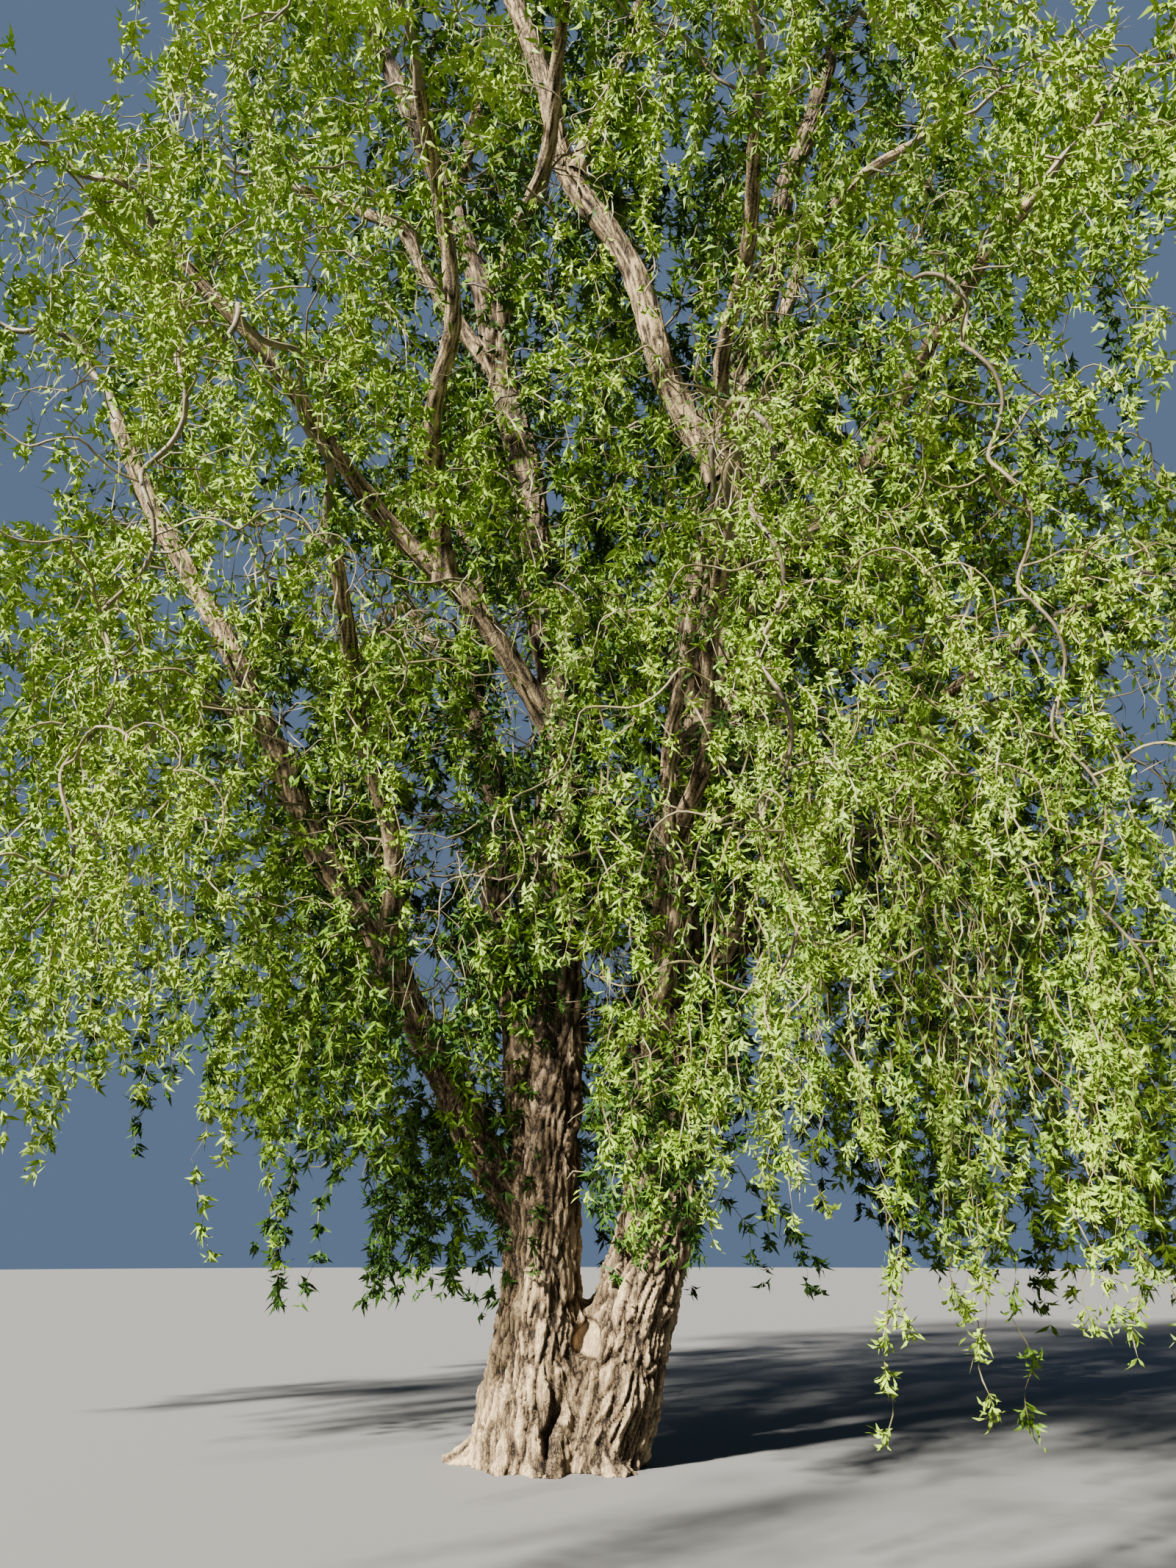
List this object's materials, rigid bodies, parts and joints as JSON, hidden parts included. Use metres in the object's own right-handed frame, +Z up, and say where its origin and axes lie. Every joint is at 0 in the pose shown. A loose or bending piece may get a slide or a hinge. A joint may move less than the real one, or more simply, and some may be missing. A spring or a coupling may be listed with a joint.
{
  "type": "curly willow tree",
  "caption": "Tall curly willow on a fused double trunk with a root flare, with long rising boughs and crooked stems whose leafy tips arch over and hang down all round.",
  "frame": {"origin": "on the ground, at the middle of the flat cut under the trunk", "axes": "+Z straight up; +X to the right and +Y away from someone who faces the V of the two stems"},
  "size_m": [11.3072, 10.3955, 12.4324],
  "materials": {
    "bark": "deeply furrowed grey-brown bark with tan ridges, paler on the boughs",
    "foliage": "narrow curled yellow-green leaves in hanging sprays"
  },
  "bodies": {
    "root": {"back_left_bough": "bark", "back_left_foliage": "foliage", "back_right_bough": "bark", "back_right_foliage": "foliage", "back_shoot_foliage": "foliage", "centre_bough": "bark", "centre_foliage": "foliage", "crest_bough_1": "bark", "crest_bough_2": "bark", "crest_foliage_1": "foliage", "crest_foliage_2": "foliage", "crossing_bough": "bark", "crossing_foliage": "foliage", "front_bough": "bark", "front_foliage": "foliage", "high_bough_3": "bark", "high_bough_4": "bark", "high_bough_5": "bark", "high_foliage_3": "foliage", "high_foliage_4": "foliage", "high_foliage_5": "foliage", "left_bough": "bark", "left_foliage": "foliage", "low_bough_1": "bark", "low_bough_2": "bark", "low_bough_3": "bark", "low_bough_4": "bark", "low_bough_5": "bark", "low_bough_6": "bark", "low_bough_7": "bark", "low_bough_8": "bark", "low_foliage_1": "foliage", "low_foliage_2": "foliage", "low_foliage_3": "foliage", "low_foliage_4": "foliage", "low_foliage_5": "foliage", "low_foliage_6": "foliage", "low_foliage_7": "foliage", "low_foliage_8": "foliage", "mid_bough_1": "bark", "mid_bough_2": "bark", "mid_bough_3": "bark", "mid_bough_4": "bark", "mid_bough_7": "bark", "mid_bough_8": "bark", "mid_foliage_1": "foliage", "mid_foliage_2": "foliage", "mid_foliage_3": "foliage", "mid_foliage_4": "foliage", "mid_foliage_7": "foliage", "mid_foliage_8": "foliage", "outer_left_bough": "bark", "outer_left_foliage": "foliage", "outer_right_bough": "bark", "outer_right_foliage": "foliage", "right_bough": "bark", "right_foliage": "foliage", "right_shoot_foliage": "foliage", "trunk": "bark"}
  },
  "joints": []
}
